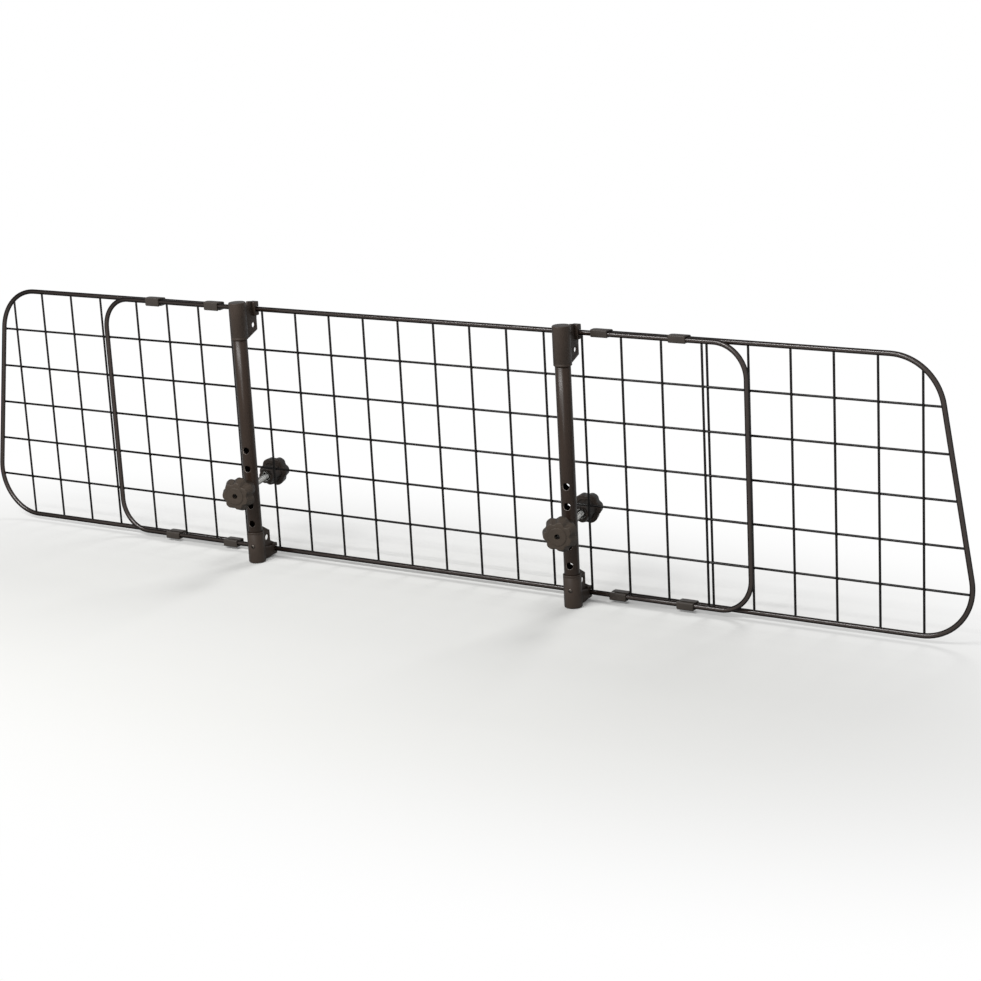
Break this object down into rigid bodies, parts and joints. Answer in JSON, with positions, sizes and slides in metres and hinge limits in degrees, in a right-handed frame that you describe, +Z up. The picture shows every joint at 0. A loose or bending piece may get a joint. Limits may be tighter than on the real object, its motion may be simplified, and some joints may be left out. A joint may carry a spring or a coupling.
{
  "type": "car dog guard",
  "caption": "Wire mesh car dog guard: a centre panel with a sliding wing at each side, on two upright posts whose knob clamps grip the poles of a headrest.",
  "frame": {"origin": "midway between the two clamps, in the plane of the headrest's poles, at the height of the clamp bolts", "axes": "+X along the guard to the right as seen from the posts' side, +Y from the posts to the mesh, +Z up"},
  "size_m": [1.382, 0.1339, 0.326],
  "materials": {
    "coated_steel": "satin powder coat, warm black",
    "coated_wire": "satin powder coat, near black",
    "fitting_plastic": "moulded, fine grain",
    "knob_plastic": "moulded, fine grain",
    "clip_plastic": "moulded, matt",
    "zinc_steel": "bright zinc plate"
  },
  "bodies": {
    "guard": {"centre_frame": "coated_steel", "centre_mesh": "coated_wire", "left_outer_clip_top": "clip_plastic", "left_outer_clip_bottom": "clip_plastic", "right_outer_clip_top": "clip_plastic", "right_outer_clip_bottom": "clip_plastic"},
    "left_wing": {"left_wing_frame": "coated_steel", "left_wing_mesh": "coated_wire", "left_inner_clip_top": "clip_plastic", "left_inner_clip_bottom": "clip_plastic"},
    "right_wing": {"right_wing_frame": "coated_steel", "right_wing_mesh": "coated_wire", "right_inner_clip_top": "clip_plastic", "right_inner_clip_bottom": "clip_plastic"},
    "left_post": {"left_post_tube": "coated_steel", "left_lower_fitting": "fitting_plastic", "left_upper_fitting": "fitting_plastic", "left_post_screw": "zinc_steel"},
    "right_post": {"right_post_tube": "coated_steel", "right_lower_fitting": "fitting_plastic", "right_upper_fitting": "fitting_plastic", "right_post_screw": "zinc_steel"},
    "left_screw": {"left_front_knob": "knob_plastic", "left_clamp_bolt": "zinc_steel"},
    "left_nut": {"left_rear_knob": "knob_plastic", "left_clamp_nut": "zinc_steel"},
    "right_screw": {"right_front_knob": "knob_plastic", "right_clamp_bolt": "zinc_steel"},
    "right_nut": {"right_rear_knob": "knob_plastic", "right_clamp_nut": "zinc_steel"}
  },
  "joints": [
    {"name": "left_wing_slide", "type": "slide", "parent": "guard", "child": "left_wing", "axis": [-1, 0, 0], "range_m": [-0.05, 0.07]},
    {"name": "right_wing_slide", "type": "slide", "parent": "guard", "child": "right_wing", "axis": [1, 0, 0], "range_m": [-0.014, 0.064]},
    {"name": "left_post_slide", "type": "slide", "parent": "guard", "child": "left_post", "axis": [-1, 0, 0], "range_m": [-0.004, 0.017]},
    {"name": "right_post_slide", "type": "slide", "parent": "guard", "child": "right_post", "axis": [1, 0, 0], "range_m": [-0.022, 0]},
    {"name": "left_bolt_turn", "type": "hinge", "parent": "left_post", "child": "left_screw", "pos_m": [-0.22725, -0.015, 0], "axis": [-0.2419, 0.9703, 0], "range_deg": [-5750, 6330]},
    {"name": "left_nut_travel", "type": "slide", "parent": "left_post", "child": "left_nut", "axis": [0.2419, -0.9703, 0], "range_m": [-0.02, 0.022]},
    {"name": "right_bolt_turn", "type": "hinge", "parent": "right_post", "child": "right_screw", "pos_m": [0.22725, -0.015, 0], "axis": [-0.2419, 0.9703, 0], "range_deg": [-5750, 6330]},
    {"name": "right_nut_travel", "type": "slide", "parent": "right_post", "child": "right_nut", "axis": [0.2419, -0.9703, 0], "range_m": [-0.02, 0.022]}
  ],
  "couplings": [
    {"joint": "left_nut_travel", "follows": "left_bolt_turn", "m_per_rad": 0.00019894},
    {"joint": "right_nut_travel", "follows": "right_bolt_turn", "m_per_rad": 0.00019894}
  ]
}
